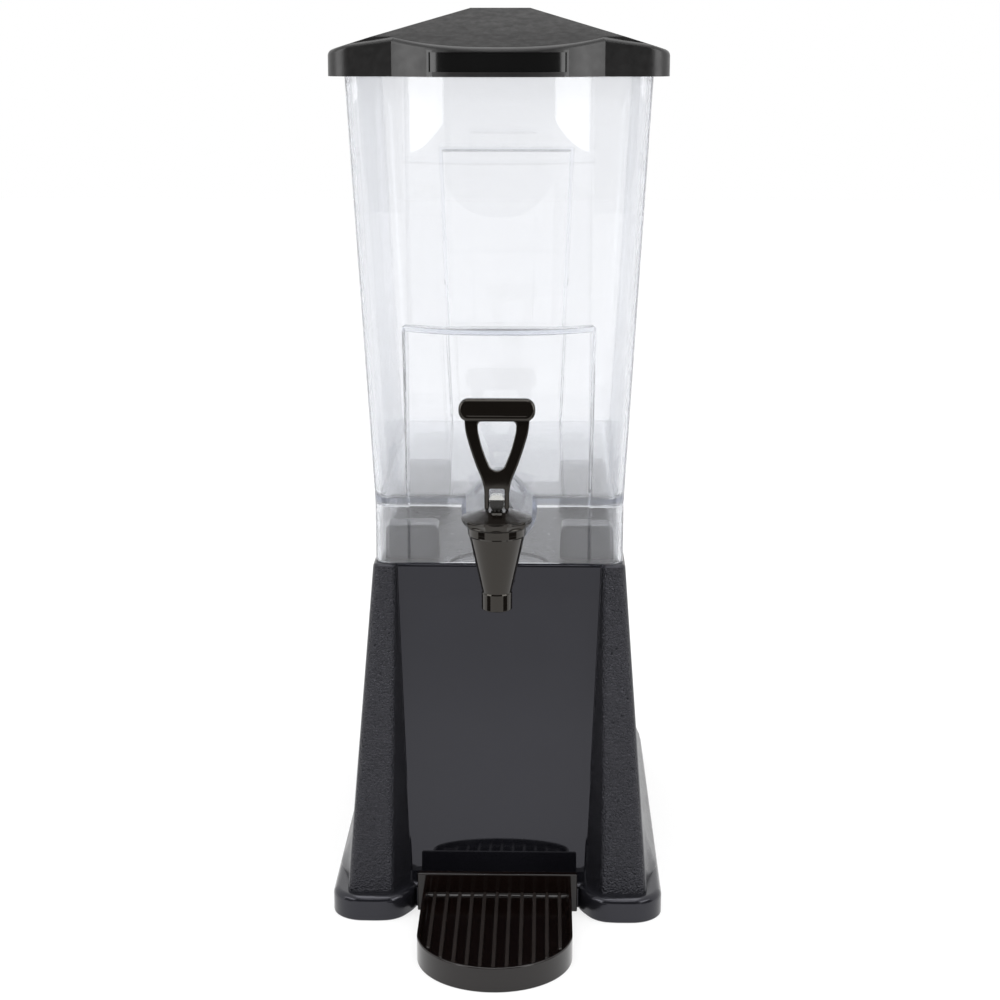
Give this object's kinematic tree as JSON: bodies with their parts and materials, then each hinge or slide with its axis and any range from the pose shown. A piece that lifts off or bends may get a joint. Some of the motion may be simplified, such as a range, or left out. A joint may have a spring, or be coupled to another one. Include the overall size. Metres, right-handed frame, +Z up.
{
  "type": "gravity beverage dispenser",
  "caption": "Tall countertop drink dispenser with a clear tapered tank, hipped lid, lever faucet, flared base and ribbed drip tray.",
  "frame": {"origin": "centre of the footprint on the table", "axes": "+Z up, the faucet and drip tray face -Y, +X to the right as seen from the front"},
  "size_m": [0.222, 0.445, 0.5965],
  "materials": {
    "base_plastic": "moulded charcoal plastic, pebbled columns, smooth semi-gloss front panel",
    "lid_plastic": "satin black moulded plastic with a fine texture",
    "clear_plastic": "clear moulded plastic, polished",
    "tray_plastic": "polished black moulded plastic",
    "faucet_plastic": "high-gloss black moulded plastic",
    "seal_rubber": "matte rubber",
    "seat_silicone": "translucent white silicone",
    "stem_steel": "drawn stainless steel",
    "nut_plastic": "moulded black plastic"
  },
  "bodies": {
    "base": {"base_housing": "base_plastic"},
    "tray": {"drip_tray": "tray_plastic"},
    "tank": {"tank": "clear_plastic", "faucet_body": "faucet_plastic", "faucet_bonnet": "faucet_plastic", "outer_washer": "seal_rubber", "inner_washer": "seal_rubber", "shank_nut": "nut_plastic", "valve_spring": "stem_steel"},
    "lid": {"lid": "lid_plastic"},
    "stem": {"valve_stem": "stem_steel", "seat_cup": "seat_silicone", "handle_pin": "stem_steel"},
    "handle": {"faucet_handle": "faucet_plastic"}
  },
  "joints": [
    {"name": "tray_slide", "type": "slide", "parent": "base", "child": "tray", "axis": [0, -1, 0], "range_m": [0, 0.12]},
    {"name": "tank_lift", "type": "slide", "parent": "base", "child": "tank", "axis": [0, 0, 1], "range_m": [0, 0.08]},
    {"name": "lid_lift", "type": "slide", "parent": "tank", "child": "lid", "axis": [0, 0, 1], "range_m": [0, 0.08]},
    {"name": "stem_lift", "type": "slide", "parent": "tank", "child": "stem", "axis": [0, 0, 1], "range_m": [0, 0.006], "deforming": ["valve_spring"]},
    {"name": "handle_pull", "type": "hinge", "parent": "stem", "child": "handle", "pos_m": [0, -0.11, 0.2875], "axis": [1, 0, 0], "range_deg": [0, 40], "stiffness_Nm_per_rad": 0.084, "springref_deg": -30.37}
  ],
  "couplings": [
    {"joint": "stem_lift", "follows": "handle_pull", "m_per_rad": 0.0075}
  ]
}
